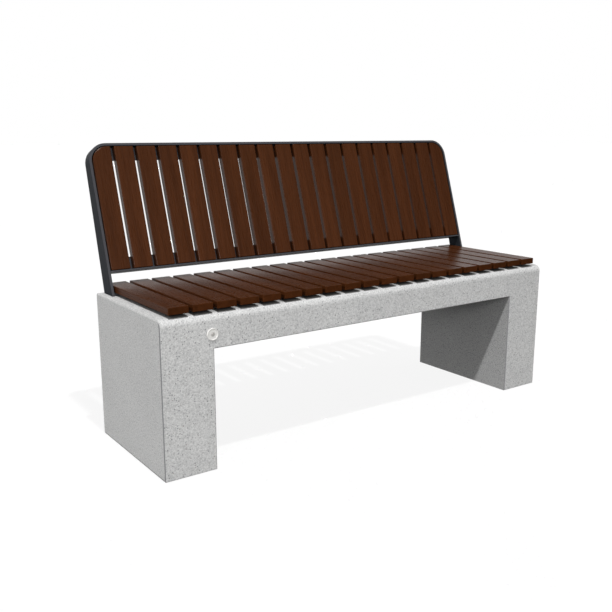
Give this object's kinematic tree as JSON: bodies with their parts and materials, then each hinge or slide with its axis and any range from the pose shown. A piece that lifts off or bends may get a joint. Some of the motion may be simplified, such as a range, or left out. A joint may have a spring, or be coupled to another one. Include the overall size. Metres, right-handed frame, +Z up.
{
  "type": "park bench",
  "caption": "Street bench: cast concrete base with two broad legs, cross-laid stained boards as the seat and a leaning slatted backrest in a flat steel frame.",
  "frame": {"origin": "centre of the bounding box on the ground", "axes": "+X along the bench, to the right of someone facing its front; +Y to the back; +Z up"},
  "size_m": [1.5, 0.5438, 0.8873],
  "materials": {
    "concrete": "cast terrazzo concrete, lightly etched, light grey with fine dark aggregate",
    "stained_wood": "planed hardwood, dark brown stain under a satin oil",
    "coated_steel": "flat steel bar, satin anthracite powder coat",
    "rail_steel": "flat steel bar, black coat",
    "bolt_steel": "stainless steel, machined",
    "badge_metal": "plain satin disc"
  },
  "bodies": {
    "root": {"concrete_base": "concrete", "seat_slat_01": "stained_wood", "seat_slat_02": "stained_wood", "seat_slat_03": "stained_wood", "seat_slat_04": "stained_wood", "seat_slat_05": "stained_wood", "seat_slat_06": "stained_wood", "seat_slat_07": "stained_wood", "seat_slat_08": "stained_wood", "seat_slat_09": "stained_wood", "seat_slat_10": "stained_wood", "seat_slat_11": "stained_wood", "seat_slat_12": "stained_wood", "seat_slat_13": "stained_wood", "seat_slat_14": "stained_wood", "seat_slat_15": "stained_wood", "seat_slat_16": "stained_wood", "seat_slat_17": "stained_wood", "seat_slat_18": "stained_wood", "seat_slat_19": "stained_wood", "seat_slat_20": "stained_wood", "back_slat_01": "stained_wood", "back_slat_02": "stained_wood", "back_slat_03": "stained_wood", "back_slat_04": "stained_wood", "back_slat_05": "stained_wood", "back_slat_06": "stained_wood", "back_slat_07": "stained_wood", "back_slat_08": "stained_wood", "back_slat_09": "stained_wood", "back_slat_10": "stained_wood", "back_slat_11": "stained_wood", "back_slat_12": "stained_wood", "back_slat_13": "stained_wood", "back_slat_14": "stained_wood", "back_slat_15": "stained_wood", "back_slat_16": "stained_wood", "back_slat_17": "stained_wood", "back_slat_18": "stained_wood", "back_slat_19": "stained_wood", "back_slat_20": "stained_wood", "seat_rail_front": "rail_steel", "seat_rail_rear": "rail_steel", "rail_bolt_front_left": "bolt_steel", "rail_bolt_front_right": "bolt_steel", "rail_bolt_rear_left": "bolt_steel", "rail_bolt_rear_right": "bolt_steel", "back_frame": "coated_steel", "back_lower_bar": "coated_steel", "back_strap_upper": "coated_steel", "back_strap_lower": "coated_steel", "back_foot_left": "coated_steel", "back_foot_right": "coated_steel", "anchor_bolt_left_outer": "bolt_steel", "anchor_bolt_left_inner": "bolt_steel", "anchor_bolt_right_outer": "bolt_steel", "anchor_bolt_right_inner": "bolt_steel", "badge_disc": "badge_metal", "badge_pin": "badge_metal"}
  },
  "joints": []
}
